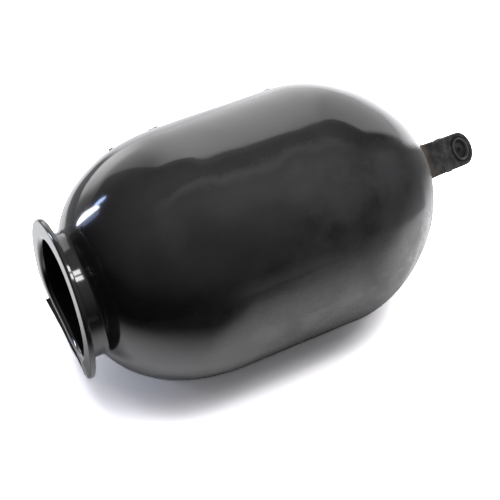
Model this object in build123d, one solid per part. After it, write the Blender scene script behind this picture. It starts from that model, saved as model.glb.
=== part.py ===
"""Replacement bladder of a pressure vessel, one moulding in black rubber. All sizes are in millimetres.

A hollow body with rounded heads, a flanged mouth at one end and a flat fixing lug at the other. It lies on
its belly, as it rests on a table: +X runs along its axis from the mouth to the tail, and +Z is up. The
origin is on the mouth's axis, in the plane of the flange's back face, where the bladder hangs in its vessel.
"""

import os

from build123d import *

# Body
body_radius = 93.0
wall = 3.0
straight_length = 92.0  # the plain cylinder between the two heads
near_head_depth = 101.5  # from the straight middle to the pole that the mouth cuts away
far_head_depth = 97.5  # from the straight middle to the far pole
near_head_fullness = 0.616  # 0.552 is a true ellipse, and more is squarer
far_head_fullness = 0.487
belly_sag = 2.5  # how far the soft belly is pressed flat where it lies

# Mouth
bore_radius = 43.5
neck_wall = 2.5
neck_length = 12.2  # from the flange's back face to the near head
neck_root_fillet = 4.0  # hollow corner between the neck and the near head
bore_end_fillet = 2.0  # rounded corner where the bore opens into the body
flange_width = 13.0  # beyond the neck's outside
flange_thickness = 4.0
lead_in = 3.5  # rounding of the bore's front edge
flange_edge_round = 0.7

# Mould flash left standing on the rim of the flange's front face, on its far lower side
flash_height = 2.8
flash_thickness = 1.0
flash_start = 45.0  # degrees about the axis, from level on the far side, downwards
flash_end = 115.0

# Fixing lug, moulded in the plane where the mould parts and drooping towards the far side
lug_width = 27.0
lug_reach = 63.0  # from the far pole to the lug's tip
lug_thickness = 7.0
lug_turn = 40.0  # of the lug's width about the axis, from level
lug_droop = 18.0
lug_edge_round = 0.7

# Eye of the lug, on both faces: a raised ring round a sunken disc with a small pip mark
eye_from_tip = 15.0
ring_radius = 9.6
ring_width = 2.4
ring_height = 0.7
disc_depth = 1.4  # below the lug's own face
pip_radius = 1.1
pip_depth = 0.8


def head_point(t, fullness):
    """Share of the head's depth and of its radius at the parameter t of its curve, 0 at the straight middle."""
    along = 3 * (1 - t) ** 2 * t * fullness + 3 * (1 - t) * t**2 + t**3
    out = (1 - t) ** 3 + 3 * (1 - t) ** 2 * t + 3 * (1 - t) * t**2 * fullness
    return along, out


def near_depth(radius, inset=0.0):
    """How far from the straight middle the near head, shrunk by the inset, is as narrow as the given radius."""
    low, high = 0.0, 1.0
    for _ in range(40):
        middle = (low + high) / 2
        if head_point(middle, near_head_fullness)[1] * (body_radius - inset) > radius:
            low = middle
        else:
            high = middle
    return (near_head_depth - inset) * head_point(low, near_head_fullness)[0]


neck_radius = bore_radius + neck_wall
flange_radius = neck_radius + flange_width
near_equator = neck_length + near_depth(neck_radius)
far_equator = near_equator + straight_length
near_pole = near_equator - near_head_depth
far_pole = far_equator + far_head_depth


def head(equator, pole, radius, fullness):
    """Half outline of a head: level where it meets the straight middle and square to the axis at its pole."""
    depth = pole - equator
    middle = (equator + fullness * depth, radius)
    return Bezier((equator, radius), middle, (pole, fullness * radius), (pole, 0))


def ovoid(inset):
    """The closed body, shrunk by the inset all round, with its belly pressed flat."""
    radius = body_radius - inset
    poles = (near_pole + inset, far_pole - inset)
    outline = [
        head(near_equator, poles[0], radius, near_head_fullness),
        Line((near_equator, radius), (far_equator, radius)),
        head(far_equator, poles[1], radius, far_head_fullness),
        Line((poles[1], 0), (poles[0], 0)),
    ]
    whole = revolve(make_face(Plane.XZ * Curve(children=outline)), Axis.X)
    belly = Plane((0, 0, belly_sag - radius))
    return split(whole, belly, keep=Keep.TOP)


def cylinder(start, end, radius):
    """Solid cylinder on the bladder's axis between two stations."""
    return extrude(Plane.YZ.offset(start) * Circle(radius), end - start)


def bottle(inset, throat_radius, corner_radius):
    """The ovoid, shrunk by the inset, with a round throat out to the flange's face and an eased corner."""
    throat = cylinder(-flange_thickness, near_equator, throat_radius)
    joined = ovoid(inset) + throat
    corner = near_equator - near_depth(throat_radius, inset)
    meeting = joined.edges().filter_by_position(Axis.X, corner - 0.01, corner + 0.01)
    return fillet(meeting, corner_radius)


def flange():
    """Plain disc with its outer edges eased."""
    disc = cylinder(-flange_thickness, 0, flange_radius)
    return fillet(disc.edges().filter_by(GeomType.CIRCLE), flange_edge_round)


def flash():
    """Thin fin on the flange's rim, rooted just behind the rounded edge of its front face."""
    root = flange_edge_round - flange_thickness
    tip = -flange_thickness - flash_height
    section = Polyline(
        (tip, flange_radius),
        (root, flange_radius),
        (root, flange_radius - flash_thickness),
        (tip, flange_radius - flash_thickness),
        close=True,
    )
    fin = revolve(make_face(section), Axis.X, revolution_arc=flash_end - flash_start)
    return Rot(X=-flash_end) * fin


def eye_half():
    """What one face of the lug gains at its eye, and what it loses, with that face at Z 0."""
    ring_inside = ring_radius - ring_width
    ring = extrude(Circle(ring_radius), ring_height)
    dish = Pos(Z=-disc_depth) * extrude(Circle(ring_inside), disc_depth + ring_height)
    pip = Pos(Z=-disc_depth - pip_depth) * extrude(Circle(pip_radius), pip_depth)
    return ring, dish + pip


def lug():
    """Flat strap with a round end and an eye, lying in its own XY plane from the root at X 0."""
    end = lug_reach - lug_width / 2
    shape = Pos(X=(end - wall) / 2) * Rectangle(end + wall, lug_width) + Pos(X=end) * Circle(lug_width / 2)
    strap = extrude(shape, lug_thickness / 2, both=True)
    faces = strap.faces().filter_by(Axis.Z)
    strap = fillet(faces.edges(), lug_edge_round)
    ring, hollow = eye_half()
    for side in (0, 180):
        place = Pos(X=lug_reach - eye_from_tip) * Rot(X=side) * Pos(Z=lug_thickness / 2)
        strap = strap + place * ring - place * hollow
    return Pos(X=far_pole) * Rot(X=lug_turn) * Rot(Y=lug_droop) * strap


def bladder():
    """The whole moulding, hollow and open at its mouth."""
    filled = bottle(0, neck_radius, neck_root_fillet) + flange() + flash() + lug()
    shell = filled - bottle(wall, bore_radius, bore_end_fillet)
    front = shell.edges().filter_by_position(Axis.X, -flange_thickness - 0.01, -flange_thickness + 0.01)
    mouth = [edge for edge in front.filter_by(GeomType.CIRCLE) if abs(edge.radius - bore_radius) < 0.01]
    return fillet(mouth, lead_in)


os.makedirs("parts", exist_ok=True)
export_step(bladder(), "parts/bladder.step")
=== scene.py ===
import math

import bmesh
import bpy
from mathutils import Matrix, Quaternion, Vector, noise


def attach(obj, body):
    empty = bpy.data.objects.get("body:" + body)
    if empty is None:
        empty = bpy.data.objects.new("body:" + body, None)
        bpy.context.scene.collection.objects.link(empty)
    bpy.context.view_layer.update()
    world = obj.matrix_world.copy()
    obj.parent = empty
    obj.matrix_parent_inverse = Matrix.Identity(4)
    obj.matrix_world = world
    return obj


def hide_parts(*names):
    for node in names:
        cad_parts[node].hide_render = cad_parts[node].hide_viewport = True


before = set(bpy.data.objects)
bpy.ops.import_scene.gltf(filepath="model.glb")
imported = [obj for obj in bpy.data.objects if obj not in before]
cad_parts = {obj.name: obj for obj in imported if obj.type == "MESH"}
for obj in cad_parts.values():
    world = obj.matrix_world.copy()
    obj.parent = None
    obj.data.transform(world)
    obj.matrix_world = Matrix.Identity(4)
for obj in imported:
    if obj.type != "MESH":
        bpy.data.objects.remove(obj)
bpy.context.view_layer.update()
print("frame loaded")

mm = 0.001
softly = {"interpolation_type": "SMOOTHSTEP"}


def toLinear(hexColour):
    # sRGB hex to the linear values that Blender works in
    channels = [int(hexColour[i : i + 2], 16) / 255 for i in (1, 3, 5)]
    return (*[c / 12.92 if c <= 0.04045 else ((c + 0.055) / 1.055) ** 2.4 for c in channels], 1.0)


def addNode(tree, kind, inputs=None, **settings):
    # one node and its settings; each socket gets a value, an output, or a node whose first live output feeds it
    node = tree.nodes.new(kind)
    for name, value in settings.items():
        setattr(node, name, value)
    for key, value in (inputs or {}).items():
        if isinstance(value, bpy.types.Node):
            value = next(socket for socket in value.outputs if socket.enabled)
        if isinstance(value, bpy.types.NodeSocket):
            tree.links.new(value, node.inputs[key])
        else:
            node.inputs[key].default_value = value
    return node


def emptyTree(owner):
    # the node tree of a material or world, without its default nodes
    owner.use_nodes = True
    owner.node_tree.nodes.clear()
    return owner.node_tree


def linkObject(name, data):
    made = bpy.data.objects.new(name, data)
    bpy.context.collection.objects.link(made)
    return made


def smoothStep(low, high, value):
    t = min(1.0, max(0.0, (value - low) / (high - low)))
    return t * t * (3 - 2 * t)


# rubber of the body, the neck and the flange

mouldedRubber = {
    "black": "#121214",
    "bloom": "#343335",  # greyish haze of wax and sulphur that comes out of black rubber
    "dust": "#4a4743",  # dry brownish dust that clings to the lower side
    "paintedSheen": "#7d7a73",  # painted sheen: pale round the root of the lug, standing in for the pale reflection along the tail's edge
    # patterns: mm across a patch, detail, roughness, distortion
    "cloud": (48.0, 5.0, 0.6, 0.15),
    "speck": (2.2, 2.0, 0.5, 0.0),
    "patch": (24.0, 6.0, 0.62, 0.25),
    "peel": (10.0, 2.0, 0.4, 0.0),  # soft unevenness left by the mould's skin
    "peelDepth": 0.012,  # mm
    "drift": 14.0,  # degrees by which the clouds shift the edges of the bloom and the dust
    # ranges: from, to, and the value at each end; along the body, in metres
    "towardsTail": (0.185, 0.215, 0.0, -8.0),  # degrees by which the bloom begins later
    "towardsMouth": (0.07, 0.19, 42.0, 0.0),  # degrees by which its grey ends earlier
    "offMouth": (0.03, 0.08, 0.0, 1.0),
    "dustAlong": (0.05, 0.17, 0.12, 1.0),
    "filmAlong": (0.264, 0.284, 0.0, 1.0),
    # about the axis, in degrees from level on the far side, over the top
    "dullFrom": (99.0, 110.0, 0.0, 1.0),
    "dullTo": (128.0, 172.0, 1.0, 0.0),
    "greyFrom": (104.0, 115.0, 0.0, 1.0),
    "greyTo": (128.0, 172.0, 1.0, 0.0),
    "dustFrom": (140.0, 170.0, 0.0, 1.0),
    "dustTo": (250.0, 300.0, 1.0, 0.0),
    # of the noise
    "cloudy": (0.38, 0.71, 0.0, 1.0),
    "dusty": (0.34, 0.90, 0.0, 1.0),
    "filmy": (0.35, 0.75, 0.1, 0.5),
    # what a pattern adds, and what lies everywhere
    "greyShare": (0.85, 0.08),
    "dustShare": (0.88, 0.06),
    "patchShare": (0.35, 0.65),  # how far the dullness follows the clouds
    "speckInClouds": 0.12,
    "speckInDust": 0.22,
    "dustDulls": 0.55,
    "dustCovers": 0.75,
    "ior": 1.55,
    "coatIor": 1.6,
    "coatRoughness": 0.07,
    "roughness": (0.12, 0.78),  # clean, and under full bloom
}


def glossyButylRubber(name, values):
    # compression moulded black butyl rubber: a clear glossy skin, dulled by bloom where the upper side was handled
    material = bpy.data.materials.new(name)
    tree = emptyTree(material)
    place = addNode(tree, "ShaderNodeTexCoord").outputs["Object"]
    split = addNode(tree, "ShaderNodeSeparateXYZ", {"Vector": place}).outputs
    patterns = []
    for pattern in ("cloud", "speck", "patch", "peel"):
        size, detail, roughness, distortion = values[pattern]
        patterns.append(addNode(tree, "ShaderNodeTexNoise", {
            "Vector": place, "Scale": 1000 / size, "Detail": detail, "Roughness": roughness, "Distortion": distortion}))
    cloud, speck, patch, peel = patterns
    turn = addNode(tree, "ShaderNodeMath", {0: split["Z"], 1: split["Y"]}, operation="ARCTAN2")
    drift = addNode(tree, "ShaderNodeMath", {0: cloud, 1: values["drift"], 2: -values["drift"] / 2},
                    operation="MULTIPLY_ADD")
    degrees = addNode(tree, "ShaderNodeMath", {0: turn, 1: 180 / math.pi, 2: drift}, operation="MULTIPLY_ADD")
    isBelow = addNode(tree, "ShaderNodeMath", {0: turn, 1: 0.0}, operation="LESS_THAN")
    whole = addNode(tree, "ShaderNodeMath", {0: isBelow, 1: 360.0, 2: degrees}, operation="MULTIPLY_ADD")
    cloudNoise = addNode(tree, "ShaderNodeMath", {0: speck, 1: values["speckInClouds"], 2: cloud},
                         operation="MULTIPLY_ADD")
    dustNoise = addNode(tree, "ShaderNodeMath", {0: speck, 1: values["speckInDust"], 2: patch},
                        operation="MULTIPLY_ADD")
    part = {}
    for names, source, shift in (
            ("towardsTail towardsMouth offMouth dustAlong filmAlong", split["X"], None),
            ("dullFrom greyFrom", degrees, "towardsTail"), ("greyTo", degrees, "towardsMouth"),
            ("dullTo", degrees, None), ("dustFrom dustTo", whole, None), ("cloudy", cloudNoise, None),
            ("dusty filmy", dustNoise, None)):
        if shift:
            source = addNode(tree, "ShaderNodeMath", {0: source, 1: part[shift]}, operation="ADD")
        for name in names.split():
            low, high, start, end = values[name]
            part[name] = addNode(tree, "ShaderNodeMapRange", {
                "Value": source, "From Min": low, "From Max": high, "To Min": start, "To Max": end},
                **({} if name == "filmy" else softly))
    spans = []
    for names in ("greyFrom greyTo offMouth", "dullFrom dullTo offMouth", "dustFrom dustTo dustAlong"):
        first, second, third = [part[name] for name in names.split()]
        band = addNode(tree, "ShaderNodeMath", {0: first, 1: second}, operation="MULTIPLY")
        spans.append(addNode(tree, "ShaderNodeMath", {0: band, 1: third}, operation="MULTIPLY"))
    grey, dulled, dustSpan = spans
    spreads = []
    for source, share in ((grey, "greyShare"), (dustSpan, "dustShare"), (part["cloudy"], "patchShare")):
        gain, base = values[share]
        spreads.append(addNode(tree, "ShaderNodeMath", {0: source, 1: gain, 2: base}, operation="MULTIPLY_ADD"))
    greyAll, dustAll, patchy = spreads
    layers = []
    for first, second in ((part["cloudy"], greyAll), (part["dusty"], dustAll),
                          (part["filmAlong"], part["filmy"]), (dulled, patchy)):
        layers.append(addNode(tree, "ShaderNodeMath", {0: first, 1: second}, operation="MULTIPLY"))
    haze, dust, paintedSheen, hazed = layers
    colour = toLinear(values["black"])
    # the last layer is a painted sheen, pale on the tail
    for layer, factor in (("bloom", haze), ("dust", dust), ("paintedSheen", paintedSheen)):
        colour = addNode(tree, "ShaderNodeMix", {"Factor": factor, 6: colour, 7: toLinear(values[layer])},
                         data_type="RGBA")
    dull = addNode(tree, "ShaderNodeMath", {0: dust, 1: values["dustDulls"], 2: hazed}, operation="MULTIPLY_ADD")
    roughness = addNode(tree, "ShaderNodeMapRange", {
        "Value": dull, "To Min": values["roughness"][0], "To Max": values["roughness"][1]})
    covered = addNode(tree, "ShaderNodeMath", {0: dust, 1: values["dustCovers"], 2: dulled},
                      operation="MULTIPLY_ADD")
    gloss = addNode(tree, "ShaderNodeMapRange", {"Value": covered, "To Min": 1.0, "To Max": 0.0})
    bump = addNode(tree, "ShaderNodeBump", {
        "Height": peel, "Strength": 1.0, "Distance": values["peelDepth"] * mm})
    shader = addNode(tree, "ShaderNodeBsdfPrincipled", {
        "Base Color": colour, "Roughness": roughness, "Normal": bump, "IOR": values["ior"], "Coat Weight": gloss,
        "Coat Roughness": values["coatRoughness"], "Coat IOR": values["coatIor"], "Coat Normal": bump})
    addNode(tree, "ShaderNodeOutputMaterial", {"Surface": shader})
    return material


# rubber of the lug

lugRubber = {
    "black": "#242526",
    "worn": "#444342",  # bloom in clouds
    "rubbedAndPaintedHighlight": "#5f5f5c",  # rubbed pale along the edges, and a painted highlight on the ring's crest
    "paintedHollowShade": "#0c0b0b",  # painted shade in the hollows: the groove round the ring, the dish and the pip
    "root": "#5e5242",  # brownish wax bloom where the lug meets the head
    "rootReach": (2.0, 14.0),  # mm past the pole of the head
    "patchSize": 9.09,  # mm
    "grainSize": 0.9,  # mm, the mould's blasted grain, drawn a little coarser than real so that it shows
    "grainDepth": 0.05,  # mm
    "ior": 1.5,
    "roughness": 0.62,
}


def mattLugRubber(name, values):
    # the same rubber moulded against a blasted face: no gloss, dusty on its edges, with a painted highlight on the
    # ring's crest and painted shade in its hollows
    material = bpy.data.materials.new(name)
    tree = emptyTree(material)
    place = addNode(tree, "ShaderNodeTexCoord").outputs["Object"]
    grain = addNode(tree, "ShaderNodeTexNoise", {
        "Vector": place, "Scale": 1000 / values["grainSize"], "Detail": 3.0, "Roughness": 0.6})
    patch = addNode(tree, "ShaderNodeTexNoise", {
        "Vector": place, "Scale": 1000 / values["patchSize"], "Detail": 4.0, "Roughness": 0.65})
    worn = addNode(tree, "ShaderNodeMapRange", {"Value": patch, "From Min": 0.43, "From Max": 0.62, "To Max": 0.95})
    along = addNode(tree, "ShaderNodeSeparateXYZ", {"Vector": place}).outputs["X"]
    near, far = [(farPole + reach) * mm for reach in values["rootReach"]]
    fromRoot = addNode(tree, "ShaderNodeMapRange", {
        "Value": along, "From Min": near, "From Max": far, "To Min": 0.9, "To Max": 0.0}, **softly)
    wearAndPaintedLight = addNode(tree, "ShaderNodeAttribute", attribute_name="wearAndPaintedLight").outputs["Fac"]
    broken = addNode(tree, "ShaderNodeMapRange", {"Value": patch, "From Min": 0.35, "From Max": 0.6, "To Min": 0.35})
    # above 0 the mark is rubbed pale, with a painted highlight on the ring's crest
    pale = addNode(tree, "ShaderNodeMath", {0: wearAndPaintedLight, 1: broken}, operation="MULTIPLY", use_clamp=True)
    # below 0 the mark is painted shade in the hollows
    dark = addNode(tree, "ShaderNodeMath", {0: wearAndPaintedLight, 1: -1.0}, operation="MULTIPLY", use_clamp=True)
    colour = toLinear(values["black"])
    for layer, factor in (("worn", worn), ("root", fromRoot), ("rubbedAndPaintedHighlight", pale), ("paintedHollowShade", dark)):
        colour = addNode(tree, "ShaderNodeMix", {"Factor": factor, 6: colour, 7: toLinear(values[layer])},
                         data_type="RGBA")
    bump = addNode(tree, "ShaderNodeBump", {
        "Height": grain, "Strength": 0.8, "Distance": values["grainDepth"] * mm})
    shader = addNode(tree, "ShaderNodeBsdfPrincipled", {
        "Base Color": colour, "Roughness": values["roughness"], "IOR": values["ior"], "Normal": bump})
    addNode(tree, "ShaderNodeOutputMaterial", {"Surface": shader})
    return material


# body, neck and flange

body = {
    "radius": 93.0,
    "wall": 3.0,
    "straight": 92.0,
    "nearDepth": 101.5,
    "farDepth": 97.5,
    "nearFullness": 0.616,  # 0.552 is a true ellipse
    "farFullness": 0.487,
    "bellyHeight": -90.5,  # the table, which the soft belly is pressed on
    "bellyEase": 2.2,  # how softly the flat runs into the round
    "waveDepth": 0.35,  # slack rubber is never quite round
    "waveSize": 95.0,
    "rippleDepth": 0.55,
    "rippleSize": 30.0,
    "wavesFrom": (18.2, 55.0),  # mm along the body, where they begin and are full
    "turns": 288,
    "seed": 7,
}

mouth = {
    "bore": 43.5,
    "neckWall": 2.5,
    "neckLength": 12.2,
    "rootFillet": 4.0,
    "boreEndRound": 2.0,
    "flangeWidth": 13.0,
    "flangeThickness": 4.0,
    "edgeRound": 0.7,
    "frontRound": 1.8,  # the rim's front edge is rounder than its back edge
    "leadIn": 3.5,
    "tiltUp": 2.68,  # degrees, the soft neck lets the flange look up a little
    "tiltAside": -0.98,
    "bendBack": (4.0, 5.7),  # mm that the mouth's lower side is bent back, at the bore and at the rim
    "bendFrom": (22.0, 80.0),  # degrees from level on the far side, downwards: where it begins and is full
    "bendTo": (98.0, 155.0),
    "bendFades": (-1.0, 11.0),  # mm along the neck
    "tiltFades": (2.0, 13.0),
}


def headPoint(t, fullness):
    # share of the head's depth and of its radius, from 0 at the straight middle to 1 at the pole
    along = 3 * (1 - t) ** 2 * t * fullness + 3 * (1 - t) * t**2 + t**3
    out = (1 - t) ** 3 + 3 * (1 - t) ** 2 * t + 3 * (1 - t) * t**2 * fullness
    return along, out


def nearHeadAt(t, inset, equator, offset=0.0):
    # a point of the near head's half outline, moved outwards square to it by the offset
    def plain(u):
        along, out = headPoint(u, body["nearFullness"])
        return Vector((equator - (body["nearDepth"] - inset) * along, (body["radius"] - inset) * out))

    run = (plain(min(1.0, t + 1e-4)) - plain(max(0.0, t - 1e-4))).normalized()
    return plain(t) + offset * Vector((run.y, -run.x))


def solveNearHead(radius, inset, equator, offset=0.0):
    low, high = 0.0, 1.0
    for _ in range(50):
        middle = (low + high) / 2
        if nearHeadAt(middle, inset, equator, offset).y > radius:
            low = middle
        else:
            high = middle
    return low


neckRadius = mouth["bore"] + mouth["neckWall"]
flangeRadius = neckRadius + mouth["flangeWidth"]
nearEquator = mouth["neckLength"] - nearHeadAt(solveNearHead(neckRadius, 0, 0), 0, 0).x
farEquator = nearEquator + body["straight"]
farPole = farEquator + body["farDepth"]


def arc(centre, radius, start, end, steps):
    return [centre + radius * Vector((math.cos(a), math.sin(a)))
            for a in (math.radians(start + (end - start) * i / steps) for i in range(steps + 1))]


def between(start, end, steps):
    return [start.lerp(end, i / steps) for i in range(1, steps)]


def farHead(inset, steps):
    # from the pole to the straight middle
    points = []
    for i in range(steps + 1):
        along, out = headPoint(1 - i / steps, body["farFullness"])
        points.append(Vector((farEquator + (body["farDepth"] - inset) * along, (body["radius"] - inset) * out)))
    return points


def nearHead(inset, lineRadius, corner, steps):
    # from the straight middle to the rounded corner with a cylinder, and round that corner to the cylinder
    t = solveNearHead(lineRadius + corner, inset, nearEquator, corner)
    head = [nearHeadAt(t * i / steps, inset, nearEquator) for i in range(steps + 1)]
    centre = nearHeadAt(t, inset, nearEquator, corner)
    start = math.degrees(math.atan2(head[-1].y - centre.y, head[-1].x - centre.x)) % 360
    return head + arc(centre, corner, start, 270, 10)[1:]


def meridian():
    # closed half section: outside from the tail's pole to the mouth, and back along the inside; the last number
    # of each run is how many steps it is drawn in
    wall = body["wall"]
    thick, ease = mouth["flangeThickness"], mouth["edgeRound"]
    lead = mouth["leadIn"]
    outer = farHead(0, 44)
    outer += between(outer[-1], Vector((nearEquator, body["radius"])), 26)
    outer += nearHead(0, neckRadius, mouth["rootFillet"], 46)
    hollow = arc(Vector((ease, neckRadius + ease)), ease, 270, 180, 4)
    rimBack = arc(Vector((-ease, flangeRadius - ease)), ease, 0, 90, 5)
    front = mouth["frontRound"]
    rimFront = arc(Vector((front - thick, flangeRadius - front)), front, 90, 180, 7)
    throat = arc(Vector((lead - thick, mouth["bore"] + lead)), lead, 180, 270, 10)
    inner = farHead(wall, 26)
    inner += between(inner[-1], Vector((nearEquator, body["radius"] - wall)), 14)
    inner += nearHead(wall, mouth["bore"], mouth["boreEndRound"], 26)
    inner.reverse()
    runs = [outer, hollow, rimBack, rimFront, throat, inner]
    gaps = [3, 7, 3, 7, 6]
    points = list(runs[0])
    for run, steps in zip(runs[1:], gaps):
        points += between(points[-1], run[0], steps) + run
    depths = [0.0] * (len(points) - len(inner)) + [wall] * len(inner)
    return points, depths


def profileObject():
    points, depths = meridian()
    mesh = bpy.data.meshes.new("bladderSection")
    mesh.from_pydata([(p.x * mm, p.y * mm, 0) for p in points], [(i, i + 1) for i in range(len(points) - 1)], [])
    mesh.attributes.new("depth", "FLOAT", "POINT").data.foreach_set("value", [d * mm for d in depths])
    return linkObject("bladderSection", mesh)


def addInputs(tree, sockets):
    # named inputs for the modifier, and one geometry output
    tree.interface.new_socket(name="Geometry", in_out="INPUT", socket_type="NodeSocketGeometry")
    for name, kind in sockets:
        tree.interface.new_socket(name=name, in_out="INPUT", socket_type="NodeSocket" + kind)
    tree.interface.new_socket(name="Geometry", in_out="OUTPUT", socket_type="NodeSocketGeometry")
    return addNode(tree, "NodeGroupInput").outputs


def endTree(tree, geometry, material):
    smooth = addNode(tree, "GeometryNodeSetShadeSmooth", {"Geometry": geometry})
    real = addNode(tree, "GeometryNodeRealizeInstances", {"Geometry": smooth})
    painted = addNode(tree, "GeometryNodeSetMaterial", {"Geometry": real, "Material": material})
    addNode(tree, "NodeGroupOutput", {"Geometry": painted})
    return tree


def growPiece(source, tree, values, name):
    # puts the tree on the object, sets its inputs, and keeps the result as a plain mesh
    modifier = source.modifiers.new(tree.name, "NODES")
    modifier.node_group = tree
    for item in tree.interface.items_tree:
        if item.in_out == "INPUT" and item.name in values:
            modifier[item.identifier] = values[item.name]
    evaluated = source.evaluated_get(bpy.context.evaluated_depsgraph_get())
    mesh = bpy.data.meshes.new_from_object(evaluated)
    mesh.name = name
    source.modifiers.remove(modifier)
    bpy.data.objects.remove(source)
    return linkObject(name, mesh)


def revolveTree():
    tree = bpy.data.node_groups.new("turnSection", "GeometryNodeTree")
    given = addInputs(tree, [
        ("Turns", "Int"), ("Wave Depth", "Float"), ("Wave Scale", "Float"),
        ("Ripple Depth", "Float"), ("Ripple Scale", "Float"), ("Seed", "Float"),
        ("Body Start", "Float"), ("Body End", "Float"),
        ("Belly Height", "Float"), ("Belly Ease", "Float"),
        ("Rubber", "Material")])
    count = addNode(tree, "GeometryNodeAttributeDomainSize", {"Geometry": given["Geometry"]}).outputs["Point Count"]
    columns = addNode(tree, "ShaderNodeMath", {0: given["Turns"], 1: 1.0}, operation="ADD")
    grid = addNode(tree, "GeometryNodeMeshGrid", {
        "Size X": 1.0, "Size Y": 1.0, "Vertices X": count, "Vertices Y": columns})
    flat = addNode(tree, "ShaderNodeSeparateXYZ", {"Vector": addNode(tree, "GeometryNodeInputPosition")}).outputs
    last = addNode(tree, "ShaderNodeMath", {0: count, 1: 1.0}, operation="SUBTRACT")
    share = addNode(tree, "ShaderNodeMath", {0: flat["X"], 1: 0.5}, operation="ADD")
    row = addNode(tree, "ShaderNodeMath", {0: share, 1: last}, operation="MULTIPLY")
    index = addNode(tree, "FunctionNodeFloatToInt", {0: row}, rounding_mode="ROUND")
    angle = addNode(tree, "ShaderNodeMath", {0: flat["Y"], 1: 2 * math.pi}, operation="MULTIPLY")
    section = addNode(tree, "GeometryNodeSampleIndex", {
        "Geometry": given["Geometry"], "Value": addNode(tree, "GeometryNodeInputPosition"),
        "Index": index}, data_type="FLOAT_VECTOR")
    depthField = addNode(tree, "GeometryNodeInputNamedAttribute", {"Name": "depth"}, data_type="FLOAT")
    depth = addNode(tree, "GeometryNodeSampleIndex", {
        "Geometry": given["Geometry"], "Value": depthField, "Index": index}, data_type="FLOAT")
    half = addNode(tree, "ShaderNodeSeparateXYZ", {"Vector": section}).outputs
    sides = []
    for operation in ("COSINE", "SINE"):
        share = addNode(tree, "ShaderNodeMath", {0: angle}, operation=operation)
        sides.append(addNode(tree, "ShaderNodeMath", {0: half["Y"], 1: share}, operation="MULTIPLY"))
    turned = addNode(tree, "ShaderNodeCombineXYZ", {"X": half["X"], "Y": sides[0], "Z": sides[1]})
    kept = addNode(tree, "GeometryNodeStoreNamedAttribute", {
        "Geometry": grid, "Name": "depth", "Value": depth}, data_type="FLOAT")
    shell = addNode(tree, "GeometryNodeSetPosition", {"Geometry": kept, "Position": turned})
    closed = addNode(tree, "GeometryNodeMergeByDistance", {"Geometry": shell, "Distance": 2e-6})

    # waves: inwards only, square to the body, and none on the neck and the flange
    spot = addNode(tree, "GeometryNodeInputPosition")
    along = addNode(tree, "ShaderNodeSeparateXYZ", {"Vector": spot}).outputs["X"]
    core = addNode(tree, "ShaderNodeClamp", {"Value": along, "Min": nearEquator * mm, "Max": farEquator * mm})
    axisPoint = addNode(tree, "ShaderNodeCombineXYZ", {"X": core})
    outwards = addNode(tree, "ShaderNodeVectorMath", {0: spot, 1: axisPoint}, operation="SUBTRACT")
    unit = addNode(tree, "ShaderNodeVectorMath", {0: outwards}, operation="NORMALIZE")
    shifted = addNode(tree, "ShaderNodeVectorMath", {
        0: spot, 1: addNode(tree, "ShaderNodeCombineXYZ", {"X": given["Seed"]})}, operation="ADD")
    fade = addNode(tree, "ShaderNodeMapRange", {
        "Value": along, "From Min": given["Body Start"], "From Max": given["Body End"]},
        interpolation_type="SMOOTHERSTEP")
    both = 0.0
    for kind in ("Wave", "Ripple"):
        uneven = addNode(tree, "ShaderNodeTexNoise", {
            "Vector": shifted, "Scale": given[kind + " Scale"], "Detail": 1.0, "Roughness": 0.4})
        inwards = addNode(tree, "ShaderNodeMath", {0: uneven, 1: -1.0}, operation="ADD")
        both = addNode(tree, "ShaderNodeMath", {0: inwards, 1: given[kind + " Depth"], 2: both},
                       operation="MULTIPLY_ADD")
    faded = addNode(tree, "ShaderNodeMath", {0: both, 1: fade}, operation="MULTIPLY")
    push = addNode(tree, "ShaderNodeVectorMath", {0: unit, "Scale": faded}, operation="SCALE")
    wavy = addNode(tree, "GeometryNodeSetPosition", {"Geometry": closed, "Offset": push})

    # the belly rests on the table, and its inside face lies one wall above it
    low = addNode(tree, "ShaderNodeSeparateXYZ", {"Vector": addNode(tree, "GeometryNodeInputPosition")}).outputs
    ownDepth = addNode(tree, "GeometryNodeInputNamedAttribute", {"Name": "depth"}, data_type="FLOAT")
    lowest = addNode(tree, "ShaderNodeMath", {0: given["Belly Height"], 1: ownDepth}, operation="ADD")
    lifted = addNode(tree, "ShaderNodeMath", {0: low["Z"], 1: lowest, 2: given["Belly Ease"]},
                     operation="SMOOTH_MAX")
    rested = addNode(tree, "ShaderNodeCombineXYZ", {"X": low["X"], "Y": low["Y"], "Z": lifted})
    settled = addNode(tree, "GeometryNodeSetPosition", {"Geometry": wavy, "Position": rested})
    return endTree(tree, settled, given["Rubber"])


mouthTurn = (Matrix.Rotation(math.radians(mouth["tiltAside"]), 3, "Z")
             @ Matrix.Rotation(math.radians(mouth["tiltUp"]), 3, "Y"))


def settleMouth(point):
    # the soft neck tilts the flange, and the mouth's lower side is bent back; point is in metres
    p = point / mm
    moved = p.lerp(mouthTurn @ p, 1 - smoothStep(*mouth["tiltFades"], p.x))
    angle = math.degrees(math.atan2(-p.z, p.y))
    bend = smoothStep(*mouth["bendFrom"], angle) * (1 - smoothStep(*mouth["bendTo"], angle))
    atBore, atRim = mouth["bendBack"]
    out = smoothStep(neckRadius, flangeRadius, math.hypot(p.y, p.z))
    moved.x += bend * (atBore + (atRim - atBore) * out) * (1 - smoothStep(*mouth["bendFades"], p.x))
    return moved * mm


def moveVertices(mesh, rule):
    for vertex in mesh.vertices:
        vertex.co = rule(vertex.co)
    mesh.update()


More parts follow.
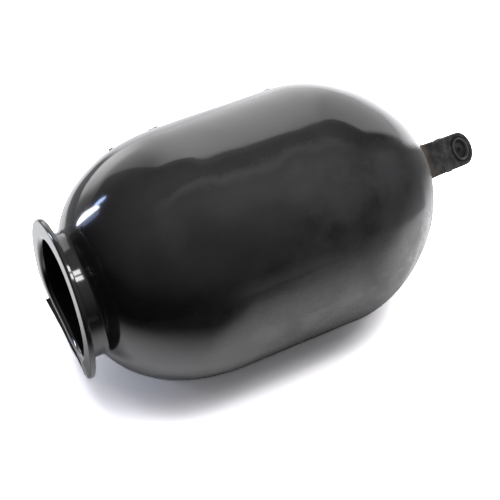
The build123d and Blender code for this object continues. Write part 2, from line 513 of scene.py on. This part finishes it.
def makeBody(material):
    values = {
        "Turns": body["turns"], "Wave Depth": body["waveDepth"] * mm, "Wave Scale": 1000 / body["waveSize"],
        "Ripple Depth": body["rippleDepth"] * mm, "Ripple Scale": 1000 / body["rippleSize"],
        "Seed": float(body["seed"]), "Body Start": body["wavesFrom"][0] * mm, "Body End": body["wavesFrom"][1] * mm,
        "Belly Height": body["bellyHeight"] * mm, "Belly Ease": body["bellyEase"] * mm, "Rubber": material}
    piece = growPiece(profileObject(), revolveTree(), values, "bladderSkin")
    moveVertices(piece.data, settleMouth)
    return piece


# flash on the flange's rim

flash = {
    "height": (2.5, 0.5),  # mm at its start and at its end
    "thickness": 1.0,
    "start": 46.5,  # degrees from level on the far side, downwards
    "end": 124.0,
    "bevel": 0.25,
    "ragged": 0.12,  # mm that its edge rises and falls
    "tears": 9,  # how many times along its length
    "steps": 80,
}


def newPiece(name, graph, material):
    bmesh.ops.remove_doubles(graph, verts=graph.verts, dist=1e-6)
    bmesh.ops.recalc_face_normals(graph, faces=graph.faces)
    mesh = bpy.data.meshes.new(name)
    graph.to_mesh(mesh)
    graph.free()
    mesh.shade_smooth()
    mesh.materials.append(material)
    return linkObject(name, mesh)


def sweepClosed(graph, sections):
    # skins a run of closed sections and caps both its ends
    rings = [[graph.verts.new(p) for p in section] for section in sections]
    size = len(rings[0])
    for first, second in zip(rings, rings[1:]):
        for i in range(size):
            graph.faces.new((first[i], first[(i + 1) % size], second[(i + 1) % size], second[i]))
    graph.faces.new(rings[0])
    graph.faces.new(rings[-1])


def makeFlash(material):
    graph = bmesh.new()
    thick = mouth["flangeThickness"]
    sections = []
    for i in range(flash["steps"] + 1):
        share = i / flash["steps"]
        angle = math.radians(flash["start"] + (flash["end"] - flash["start"]) * share)
        high, low = flash["height"]
        uneven = noise.noise(Vector((share * flash["tears"], 3.1, 0)))
        height = high + (low - high) * share**0.8 + flash["ragged"] * uneven
        outer, inner = flangeRadius + 0.02, flangeRadius - flash["thickness"]
        root, tip = mouth["edgeRound"] - thick, -thick - height
        bevel = flash["bevel"]
        profile = [(root, outer), (tip + bevel, outer), (tip, outer - bevel), (tip, inner + bevel),
                   (tip + bevel, inner), (-thick + 0.5, inner - 0.1), (root, inner - 0.2)]
        sections.append([settleMouth(Vector((x, r * math.cos(angle), -r * math.sin(angle))) * mm)
                         for x, r in profile])
    sweepClosed(graph, sections)
    return newPiece("mouthFlash", graph, material)


# tail lug

lug = {
    "width": 27.0,
    "reach": 62.8,
    "thickness": 7.0,
    "turn": 40.0,  # degrees about the body's axis
    "droop": 18.5,
    "sag": 4.0,  # degrees more at the tip, because the lug is soft
    "sagFrom": (8.0, 46.0),  # mm from the pole, where it begins and is full
    "bendSteps": 24,
    "edgeRound": 1.0,
    "eyeFromTip": 15.0,
    "ringRadius": 9.4,
    "ringWidth": 2.0,
    "ringHeight": 0.9,
    "discDepth": 1.6,
    "pipRadius": 1.1,
    "pipDepth": 1.0,
    "rootSpread": 5.0,  # how far the root's flare reaches
    "rootFlare": 0.55,
    "flareAcross": 0.22,  # share of the flare that its width takes
    "rootInside": 2.6,  # how far it reaches into the head
    "nubAt": 29.5,  # small nub on each long edge, where the mould was vented
    "nubWidth": 0.9,
    "nubHeight": 0.55,
    # slopes, and the marks of rubbing, painted highlight and painted shade: mm from the radius they belong to, where
    # each begins and is full
    "ringOutside": (-0.7, 0.1),
    "dishSide": (-0.5, 0.4),
    "pipSide": (-0.5, 0.2),
    "crestFrom": (0.3, 0.7),
    "crestTo": (-0.7, -0.3),
    "grooveFrom": (-0.3, 0.0),
    "grooveTo": (0.5, 1.5),
    # painted shade in the dish, and on the pip below
    "dishShadeTo": (-0.4, 0.0),
    "floorFrom": (-1.8, -0.7),
    "pipMark": (0.2, 1.0),
    "edgeMark": (0.2, 1.6),  # mm in from its edge
}


def lugPlace(x, y):
    # how far a point of its face lies in from the lug's edge, and how far from the middle of the eye
    half = lug["width"] / 2
    endCentre = lug["reach"] - half
    inset = half - (abs(y) if x < endCentre else math.hypot(x - endCentre, y))
    return inset, math.hypot(x - (lug["reach"] - lug["eyeFromTip"]), y)


def beyondRadius(name, radius, spread):
    low, high = lug[name]
    return smoothStep(radius + low, radius + high, spread)


def lugFaceHeight(x, y):
    # height of the lug's upper face above its middle plane
    inset, spread = lugPlace(x, y)
    ease, ring, pip = lug["edgeRound"], lug["ringRadius"], lug["pipRadius"]
    drop = ease - math.sqrt(max(0.0, ease**2 - (ease - inset) ** 2)) if inset < ease else 0.0
    height = lug["thickness"] / 2 - drop
    height += lug["ringHeight"] * (1 - beyondRadius("ringOutside", ring, spread))
    height -= (lug["ringHeight"] + lug["discDepth"]) * (1 - beyondRadius("dishSide", ring - lug["ringWidth"], spread))
    height -= lug["pipDepth"] * (1 - beyondRadius("pipSide", pip, spread))
    return height


def lugWearAndPaintedLight(x, y):
    # above 0 where the lug is rubbed pale on its edges, with a painted highlight on the ring's crest; below 0 where it
    # carries painted shade in the ring's groove, the dish and the pip
    inset, spread = lugPlace(x, y)
    ring, inside = lug["ringRadius"], lug["ringRadius"] - lug["ringWidth"]
    crest = beyondRadius("crestFrom", inside, spread) * (1 - beyondRadius("crestTo", ring, spread))
    groove = beyondRadius("grooveFrom", ring, spread) * (1 - beyondRadius("grooveTo", ring, spread))
    dish = (1 - beyondRadius("dishShadeTo", inside, spread)) * (0.15 + 0.85 * beyondRadius("floorFrom", inside, spread))
    pip = 1 - beyondRadius("pipMark", lug["pipRadius"], spread)
    edge = 1 - smoothStep(*lug["edgeMark"], inset)
    return 0.85 * crest + 0.7 * edge - 1.3 * groove - dish - pip


def placeLug(x, y, z):
    # flares the root, lets the strap droop a little more towards its tip, and sets it on the tail's pole
    flare = 1 + lug["rootFlare"] * math.exp(-max(0.0, x) / lug["rootSpread"])
    nub = lug["nubHeight"] * math.exp(-((x - lug["nubAt"]) / lug["nubWidth"]) ** 2) * abs(2 * y / lug["width"]) ** 9
    # the middle line from the pole, bending down a little more at each step
    steps = lug["bendSteps"]
    alongX = alongZ = 0.0
    for i in range(steps):
        angle = math.radians(lug["droop"] + lug["sag"] * smoothStep(*lug["sagFrom"], x * (i + 0.5) / steps))
        alongX += math.cos(angle) * x / steps
        alongZ -= math.sin(angle) * x / steps
    thick = z * flare
    across = y * (1 + (flare - 1) * lug["flareAcross"]) + math.copysign(nub, y)
    local = Vector((alongX + thick * math.sin(angle), across, alongZ + thick * math.cos(angle)))
    return (Matrix.Translation((farPole, 0, 0)) @ Matrix.Rotation(math.radians(lug["turn"]), 4, "X") @ local) * mm


def makeLug(material):
    half = lug["width"] / 2
    endCentre = lug["reach"] - half
    eye = lug["reach"] - lug["eyeFromTip"]
    cut = eye - half
    nearEdge = [half - d for d in (0, 0.06, 0.18, 0.4, 0.75, 1.1, 2.2)]
    middle = [nearEdge[-1] * (1 - i / 5) for i in range(1, 10)]
    rows = nearEdge + middle + [-y for y in reversed(nearEdge)]
    rim = [(cut, y) for y in rows]
    rim += [(cut + (endCentre - cut) * i / 8, -half) for i in range(1, 8)]
    rim += [(endCentre + half * math.cos(a), half * math.sin(a))
            for a in (math.radians(-90 + 180 * i / 44) for i in range(45))]
    rim += [(endCentre + (cut - endCentre) * i / 8, half) for i in range(1, 8)]
    radii = [0.35, 0.6, 0.85, 1.1, 1.3, 2.5, 4.5, 6.0, 6.6, 6.8, 7.0, 7.2, 7.4, 7.65, 8.2, 8.8, 9.1, 9.4, 9.7, 9.95]
    shares = [0.3, 0.55, 0.72, 0.84, 0.91, 0.955, 0.985, 1.0]
    stations = [cut - (cut + lug["rootInside"]) * i / 30 for i in range(1, 31)]
    graph = bmesh.new()
    wearAndPaintedLight = graph.verts.layers.float.new("wearAndPaintedLight")
    faces = []
    edges = {}
    for side in (1, -1):
        def vertex(x, y):
            made = graph.verts.new(placeLug(x, y, side * lugFaceHeight(x, y)))
            made[wearAndPaintedLight] = lugWearAndPaintedLight(x, y)
            return made

        centre = vertex(eye, 0)
        rings = []
        # round rings about the eye, then rings that go over to the rim's own shape
        for r, share in [(r, 0.0) for r in radii] + [(radii[-1], share) for share in shares]:
            ring = []
            for x, y in rim:
                start = r / math.hypot(x - eye, y)
                scale = start + (1 - start) * share
                ring.append(vertex(eye + (x - eye) * scale, y * scale))
            rings.append(ring)
        size = len(rim)
        for i in range(size):
            faces.append((centre, rings[0][i], rings[0][(i + 1) % size]))
        for first, second in zip(rings, rings[1:]):
            for i in range(size):
                j = (i + 1) % size
                faces.append((first[i], second[i], second[j], first[j]))
        strap = [rings[-1][: len(rows)]]
        for x in stations:
            current = [vertex(x, y) for y in rows]
            for i in range(len(rows) - 1):
                faces.append((strap[-1][i], strap[-1][i + 1], current[i + 1], current[i]))
            strap.append(current)
        edges[side] = ([line[-1] for line in reversed(strap)] + rings[-1][len(rows):]
                       + [line[0] for line in strap] + strap[-1][1:-1])
    for face in faces:
        graph.faces.new(face)
    # the sides between the two faces, straight across from one to the other
    upper, lower = edges[1], edges[-1]
    size = len(upper)
    levels = [upper]
    for share in (0.3, 0.46, 0.5, 0.54, 0.7):
        level = []
        for top, bottom in zip(upper, lower):
            level.append(graph.verts.new(top.co.lerp(bottom.co, share)))
            level[-1][wearAndPaintedLight] = 0.15
        levels.append(level)
    levels.append(lower)
    for first, second in zip(levels, levels[1:]):
        for i in range(size):
            j = (i + 1) % size
            graph.faces.new((first[i], first[j], second[j], second[i]))
    return newPiece("tailLug", graph, material)


# line where the mould parts

parting = {
    "angle": 40.0,  # degrees about the axis, the lug's own plane
    "step": 1.5,
    "ridge": 0.10,  # mm half thickness of the plain line
    "fleck": 2.0,  # mm, most half thickness of the torn bits of flash left on it
    "fleckSize": 5.0,
    "flecks": ((66, 70), (98, 108), (191, 200)),  # mm along the body, where each bit starts and ends
    "seed": 3,
}


def partingGuide():
    mesh = bpy.data.meshes.new("partingGuide")
    points, lines = [], []
    for side in (0, 180):
        angle = math.radians(parting["angle"] + side)
        outline = farHead(0, 60)[3:]
        outline += between(outline[-1], Vector((nearEquator, body["radius"])), 30)
        outline += nearHead(0, neckRadius, mouth["rootFillet"], 60)[:-12]
        start = len(points)
        points += [(p.x * mm, p.y * math.cos(angle) * mm, p.y * math.sin(angle) * mm) for p in outline]
        lines += [(i, i + 1) for i in range(start, len(points) - 1)]
    mesh.from_pydata(points, lines, [])
    return linkObject("partingGuide", mesh)


def partingTree():
    tree = bpy.data.node_groups.new("partingFlash", "GeometryNodeTree")
    given = addInputs(tree, [
        ("Body", "Object"), ("Step", "Float"), ("Ridge", "Float"),
        ("Fleck", "Float"), ("Fleck Scale", "Float"), ("Seed", "Float"),
        ("Rubber", "Material")])
    bodySkin = addNode(tree, "GeometryNodeObjectInfo", {"Object": given["Body"]}).outputs["Geometry"]
    curve = addNode(tree, "GeometryNodeMeshToCurve", {"Mesh": given["Geometry"]})
    even = addNode(tree, "GeometryNodeResampleCurve", {"Curve": curve, "Length": given["Step"]}, mode="LENGTH")
    near = addNode(tree, "GeometryNodeProximity", {"Geometry": bodySkin}, target_element="FACES")
    laid = addNode(tree, "GeometryNodeSetPosition", {"Geometry": even, "Position": near})
    spot = addNode(tree, "GeometryNodeInputPosition")
    shifted = addNode(tree, "ShaderNodeVectorMath", {
        0: spot, 1: addNode(tree, "ShaderNodeCombineXYZ", {"X": given["Seed"]})}, operation="ADD")
    ragged = addNode(tree, "ShaderNodeTexNoise", {
        "Vector": shifted, "Scale": given["Fleck Scale"], "Detail": 2.0, "Roughness": 0.7})
    fleck = addNode(tree, "ShaderNodeMath", {0: ragged, 1: given["Fleck"]}, operation="MULTIPLY")
    parts = addNode(tree, "ShaderNodeSeparateXYZ", {"Vector": spot}).outputs
    above = addNode(tree, "ShaderNodeMath", {0: parts["Z"], 1: 0.0}, operation="GREATER_THAN")
    torn = addNode(tree, "ShaderNodeMath", {0: fleck, 1: above}, operation="MULTIPLY")
    size = given["Ridge"]
    for start, end in parting["flecks"]:
        off = addNode(tree, "ShaderNodeMath", {0: parts["X"], 1: (start + end) / 2 * mm}, operation="SUBTRACT")
        away = addNode(tree, "ShaderNodeMath", {0: off}, operation="ABSOLUTE")
        half = (end - start) / 2 * mm
        here = addNode(tree, "ShaderNodeMapRange", {
            "Value": away, "From Min": half * 0.6, "From Max": half, "To Min": 1.0, "To Max": 0.0})
        size = addNode(tree, "ShaderNodeMath", {0: here, 1: torn, 2: size}, operation="MULTIPLY_ADD")
    bead = addNode(tree, "GeometryNodeCurvePrimitiveCircle", {"Resolution": 6, "Radius": 1.0})
    ridge = addNode(tree, "GeometryNodeCurveToMesh", {
        "Curve": laid, "Profile Curve": bead, "Scale": size, "Fill Caps": True})
    return endTree(tree, ridge, given["Rubber"])


def makePartingLine(skin, material):
    values = {
        "Body": skin, "Step": parting["step"] * mm, "Ridge": parting["ridge"] * mm,
        "Fleck": parting["fleck"] * mm, "Fleck Scale": 1000 / parting["fleckSize"], "Seed": float(parting["seed"]),
        "Rubber": material}
    return growPiece(partingGuide(), partingTree(), values, "partingFlash")


# build

skinMaterial = glossyButylRubber("glossyMouldedButylRubber", mouldedRubber)
lugMaterial = mattLugRubber("mattMouldedLugRubber", lugRubber)

skin = makeBody(skinMaterial)
print("body, neck and flange made:", len(skin.data.polygons), "faces")
rimFlash = makeFlash(skinMaterial)
print("flash on the rim made")
tail = makeLug(lugMaterial)
print("tail lug made:", len(tail.data.polygons), "faces")
seam = makePartingLine(skin, skinMaterial)
print("parting line made:", len(seam.data.polygons), "faces")

for piece in (skin, rimFlash, tail, seam):
    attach(piece, "root")
    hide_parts("bladder")


# table

table = {
    "from": (-0.30, -1.60),
    "to": (1.8, 0.85),
    "white": "#fafafc",
    "paintedShadeGrey": "#272727",  # painted shade: the sheet's colour where it mirrors nothing bright
    "toEye": (2.95, 2.90, 3.0),  # how bright the lit sheet looks; all but its shadow is pure white
    "leanFrom": 0.06,  # the painted light's front edge runs aslant from here to the right
    "lean": 1.9,
    "doorAt": (0.46, -0.04),
    "bodyAt": -0.02,  # middle of the painted shade under the body
    # ranges: from, to, and the value at each end; in metres, and the doorway's in radians
    # painted light and shade on the sheet, for all but camera rays
    "lip": (-0.375, -0.345, 0.0, 0.10),
    "rolled": (-0.335, -0.08, 0.0, 0.78),
    "behind": (-0.06, 0.04, 0.0, 0.20),
    "side": (-0.24, -0.02, 0.0, 1.0),
    # painted dark corner, painted doorway reflection, and painted shade under the body and the mouth
    "pastSlant": (0.34, 0.38, 0.0, -0.78),
    "slantSpan": (0.06, 0.13, 1.0, 0.0),
    "doorFrom": (math.radians(-56), math.radians(-40), 0.0, -0.78),
    "doorTo": (math.radians(8), math.radians(24), 1.0, 0.0),
    "shade": (0.04, 0.15, -0.72, 0.0),
    "shadeFrom": (0.03, 0.17, 0.0, 1.0),
    "shadeTo": (0.22, 0.30, 1.0, 0.0),
    "mouthEnd": (-0.02, 0.0, 1.0, 0.0),
    "mouthTo": (0.01, 0.06, 1.0, 0.0),
    "mouthFrom": (-0.07, -0.04, 0.0, -0.6),
    "farther": (-0.60, -0.14, 0.38, 1.0),
    "pastTail": (0.30, 0.40, 1.0, 1.35),  # painted light: mirrored brighter beyond the tail, nearest to the window
}


def paperMaterial():
    # matt white paper; away from the object it mirrors darker towards its front and left, a painted falloff of light
    # and shade
    material = bpy.data.materials.new("mattWhitePaper")
    tree = emptyTree(material)
    place = addNode(tree, "ShaderNodeTexCoord").outputs["Object"]
    split = addNode(tree, "ShaderNodeSeparateXYZ", {"Vector": place}).outputs
    x, y = split["X"], split["Y"]
    beyond = addNode(tree, "ShaderNodeMath", {0: x, 1: -table["leanFrom"]}, operation="ADD")
    onRight = addNode(tree, "ShaderNodeMath", {0: beyond, 1: 0.0}, operation="MAXIMUM")
    leaning = addNode(tree, "ShaderNodeMath", {0: onRight, 1: table["lean"], 2: y}, operation="MULTIPLY_ADD")
    slant = addNode(tree, "ShaderNodeMath", {0: y, 1: x}, operation="SUBTRACT")
    doorX, doorY = [addNode(tree, "ShaderNodeMath", {0: place, 1: -at}, operation="ADD")
                    for place, at in zip((x, y), table["doorAt"])]
    doorTurn = addNode(tree, "ShaderNodeMath", {0: doorY, 1: doorX}, operation="ARCTAN2")
    middle = addNode(tree, "ShaderNodeMath", {0: y, 1: -table["bodyAt"]}, operation="ADD")
    fromMiddle = addNode(tree, "ShaderNodeMath", {0: middle}, operation="ABSOLUTE")
    part = {}
    for names, source, shift, settings in (
            ("lip rolled", leaning, None, softly), ("behind", y, None, softly), ("side", x, "behind", softly),
            ("pastSlant", slant, None, softly), ("doorFrom doorTo", doorTurn, None, softly),
            ("shade", fromMiddle, None, softly), ("slantSpan shadeFrom shadeTo mouthEnd pastTail", x, None, {}),
            ("mouthTo mouthFrom farther", y, None, {})):
        if shift:
            source = addNode(tree, "ShaderNodeMath", {0: source, 1: part[shift]}, operation="ADD")
        for name in names.split():
            low, high, start, end = table[name]
            part[name] = addNode(tree, "ShaderNodeMapRange", {
                "Value": source, "From Min": low, "From Max": high, "To Min": start, "To Max": end}, **settings)
    # painted light: lit towards the object, darker towards the front, to the left and farther away
    lit = addNode(tree, "ShaderNodeMath", {0: part["lip"], 1: part["rolled"]}, operation="ADD")
    for name in ("farther", "side"):
        lit = addNode(tree, "ShaderNodeMath", {0: lit, 1: part[name]}, operation="MULTIPLY")
    # painted shade and reflection: a dark corner cut off aslant, a dark doorway's reflection, and the shade under the
    # body and the mouth
    for names in ("pastSlant slantSpan", "doorFrom doorTo", "shade shadeFrom shadeTo", "mouthEnd mouthTo mouthFrom"):
        taken = lit
        for name in names.split():
            taken = addNode(tree, "ShaderNodeMath", {0: taken, 1: part[name]}, operation="MULTIPLY")
        lit = addNode(tree, "ShaderNodeMath", {0: lit, 1: taken}, operation="ADD")
    paper = addNode(tree, "ShaderNodeMix", {
        "Factor": lit, 6: toLinear(table["paintedShadeGrey"]), 7: toLinear(table["white"])}, data_type="RGBA")
    path = addNode(tree, "ShaderNodeLightPath").outputs
    # painted light: to glossy rays the sheet is brighter beyond the tail
    mirrored = addNode(tree, "ShaderNodeMix", {"Factor": path["Is Glossy Ray"], 2: 1.0, 3: part["pastTail"]},
                       data_type="FLOAT")
    brighter = addNode(tree, "ShaderNodeVectorMath", {0: paper, "Scale": mirrored}, operation="SCALE")
    colour = addNode(tree, "ShaderNodeMix", {
        "Factor": path["Is Camera Ray"], 6: brighter, 7: (*table["toEye"], 1)}, data_type="RGBA")
    shader = addNode(tree, "ShaderNodeBsdfDiffuse", {"Color": colour})
    addNode(tree, "ShaderNodeOutputMaterial", {"Surface": shader})
    return material


def makeTable():
    (x0, y0), (x1, y1) = table["from"], table["to"]
    z = body["bellyHeight"] * mm
    mesh = bpy.data.meshes.new("tableSheet")
    mesh.from_pydata([(x0, y0, z), (x1, y0, z), (x1, y1, z), (x0, y1, z)], [], [(0, 1, 2, 3)])
    mesh.materials.append(paperMaterial())
    linkObject("tableSheet", mesh)


# the room, which is only mirrored; its directions are degrees about Z and above the horizon

room = {
    "wallTop": ((18, 27), (35, 39), (52, 50.5), (60, 50), (68, 45), (88, 43), (97, 30), (106, 13), (122, 9)),
    "wallLevel": ((18, 0.80), (52, 0.82), (62, 1.15), (70, 1.20), (80, 1.0)),
    "railGap": 3.2,  # from the wall's top edge to a thin pale rail
    "leftDim": 0.6,
    # ranges: from, to, and the value at each end
    "wall": (-0.8, 0.8, 1.0, 0.0),
    "rail": (0.5, 1.4, 0.11, 0.0),
    "right": (17.0, 23.0, 0.0, 1.0),
    "left": (92.0, 124.0, 1.0, 0.25),
    "leftEnd": (78.0, 92.0, 0.0, 1.0),
    "leftOff": (120.0, 136.0, 1.0, 0.0),
    "skirtTop": (3.0, 12.0, 0.55, 0.0),  # low on the left end of the wall
    "skirtEnd": (107.0, 116.0, 1.0, 0.0),
    "tableTop": (-3.0, 9.0, 0.26, 0.0),  # the rest of the table, far in front on the right
    "tableFrom": (-92.0, -68.0, 0.0, 1.0),
    "tableTo": (-48.0, -28.0, 1.0, 0.0),
    "upwards": (4.0, 34.0, 0.0, 1.0),
    "overWall": (22.0, 46.0, 0.35, 0.0),
    "ceiling": (5.0, 65.0, 0.0, 0.25),
}


def makeWorld():
    world = bpy.data.worlds.new("studioRoom")
    bpy.context.scene.world = world
    tree = emptyTree(world)
    place = addNode(tree, "ShaderNodeTexCoord").outputs["Generated"]
    way = addNode(tree, "ShaderNodeSeparateXYZ", {"Vector": place}).outputs
    height = addNode(tree, "ShaderNodeMath", {0: way["Z"]}, operation="ARCSINE")
    heading = addNode(tree, "ShaderNodeMath", {0: way["Y"], 1: way["X"]}, operation="ARCTAN2")
    elevation, azimuth = [addNode(tree, "ShaderNodeMath", {0: angle, 1: 180 / math.pi}, operation="MULTIPLY")
                          for angle in (height, heading)]
    # the wall's top edge and its level, each as a ramp over the half circle
    share = addNode(tree, "ShaderNodeMath", {0: azimuth, 1: 1 / 180}, operation="MULTIPLY")
    curves = []
    for stops, most in ((room["wallTop"], 90.0), (room["wallLevel"], 1.5)):
        ramp = addNode(tree, "ShaderNodeValToRGB", {"Fac": share})
        elements = ramp.color_ramp.elements
        while len(elements) < len(stops):
            elements.new(0.5)
        for element, (at, value) in zip(elements, stops):
            element.position = at / 180
            element.color = (*[value / most] * 3, 1)
        curves.append(addNode(tree, "ShaderNodeMath", {0: ramp, 1: most}, operation="MULTIPLY"))
    top, brightness = curves
    above = addNode(tree, "ShaderNodeMath", {0: elevation, 1: top}, operation="SUBTRACT")
    fromRail = addNode(tree, "ShaderNodeMath", {0: above, 1: room["railGap"]}, operation="SUBTRACT")
    offRail = addNode(tree, "ShaderNodeMath", {0: fromRail}, operation="ABSOLUTE")
    part = {}
    for names, source, settings in (
            ("wall", above, softly), ("rail", offRail, softly), ("skirtTop tableTop", elevation, softly),
            ("right left leftEnd leftOff skirtEnd tableFrom tableTo", azimuth, softly),
            ("upwards overWall ceiling", elevation, {})):
        for name in names.split():
            low, high, start, end = room[name]
            part[name] = addNode(tree, "ShaderNodeMapRange", {
                "Value": source, "From Min": low, "From Max": high, "To Min": start, "To Max": end}, **settings)
    dimming = addNode(tree, "ShaderNodeMath", {0: part["leftEnd"], 1: part["upwards"]}, operation="MULTIPLY")
    dimmed = addNode(tree, "ShaderNodeMath", {0: dimming, 1: -room["leftDim"], 2: 1.0}, operation="MULTIPLY_ADD")
    overLeft = addNode(tree, "ShaderNodeMath", {0: part["leftEnd"], 1: part["overWall"]}, operation="MULTIPLY")
    railed = addNode(tree, "ShaderNodeMath", {0: part["wall"], 1: part["rail"]}, operation="MAXIMUM")
    wall = addNode(tree, "ShaderNodeMath", {0: railed, 1: overLeft}, operation="MAXIMUM")
    for mask in (part["right"], part["left"], part["leftOff"], brightness, dimmed):
        wall = addNode(tree, "ShaderNodeMath", {0: wall, 1: mask}, operation="MULTIPLY")
    skirt = addNode(tree, "ShaderNodeMath", {0: part["leftEnd"], 1: part["skirtEnd"]}, operation="MULTIPLY")
    farTable = addNode(tree, "ShaderNodeMath", {0: part["tableFrom"], 1: part["tableTo"]}, operation="MULTIPLY")
    level = addNode(tree, "ShaderNodeMath", {0: skirt, 1: part["skirtTop"], 2: wall}, operation="MULTIPLY_ADD")
    level = addNode(tree, "ShaderNodeMath", {0: farTable, 1: part["tableTop"], 2: level}, operation="MULTIPLY_ADD")
    level = addNode(tree, "ShaderNodeMath", {0: level, 1: part["ceiling"]}, operation="ADD")
    seen = addNode(tree, "ShaderNodeLightPath").outputs["Is Camera Ray"]
    level = addNode(tree, "ShaderNodeMath", {0: level, 1: seen}, operation="MAXIMUM")
    background = addNode(tree, "ShaderNodeBackground", {"Color": level, "Strength": 1.0})
    addNode(tree, "ShaderNodeOutputWorld", {"Surface": background})


# lamps: place, aim, size in metres, watts, colour, shape, roll in degrees

lamps = {
    "overheadSoft": ((0.40, 0.10, 1.4), (0.15, 0, 0), (1.5, 1.5), 22, "#ffffff", "RECTANGLE", 0),
    "tallWindow": ((-0.765, 0.988, 0.20), (0.035, 0, 0.07), (0.12, 0.66), 2.7, "#e6edff", "ELLIPSE", 0),
    "windowTop": ((-0.67, 1.03, 0.50), (0.035, 0, 0.07), (0.075, 0.30), 0.55, "#b4cdff", "ELLIPSE", 20),
    "windowCurtain": ((-0.87, 0.93, 0.30), (0.035, 0, 0.07), (0.11, 0.50), 0.20, "#a9c4ff", "ELLIPSE", 0),
    "roofWindowA": ((0.30, -0.10, 1.3), (0.30, -0.10, 0), (0.40, 0.19), 2.0, "#ffffff", "RECTANGLE", 0),
    "roofWindowB": ((0.30, -0.36, 1.3), (0.30, -0.36, 0), (0.40, 0.19), 2.0, "#ffffff", "RECTANGLE", 0),
}


def makeLamps():
    for name, (at, aim, size, power, colour, shape, roll) in lamps.items():
        light = bpy.data.lights.new(name, "AREA")
        light.shape = shape
        light.size, light.size_y = size
        light.energy = power
        light.color = toLinear(colour)[:3]
        lamp = linkObject(name, light)
        lamp.location = at
        turn = (Vector(aim) - Vector(at)).to_track_quat("-Z", "Y") @ Quaternion((0, 0, 1), math.radians(roll))
        lamp.rotation_euler = turn.to_euler()
        lamp.visible_camera = False
        lamp.visible_glossy = name != "overheadSoft"  # only lights, and isn't mirrored


# camera

camera = {
    "at": (-0.12339, -0.52446, 0.64290),
    "forward": (0.3022, 0.5893, -0.7492),
    "lens": 84.96,
}


def makeCamera():
    data = bpy.data.cameras.new("camera")
    data.lens = camera["lens"]
    data.sensor_width = 36.0
    data.clip_start = 0.01
    viewer = linkObject("camera", data)
    viewer.location = camera["at"]
    viewer.rotation_euler = Vector(camera["forward"]).to_track_quat("-Z", "Y").to_euler()
    bpy.context.scene.camera = viewer


makeTable()
makeWorld()
makeLamps()
makeCamera()
bpy.context.scene.view_settings.view_transform = "Standard"
print("table, lamps and camera set")
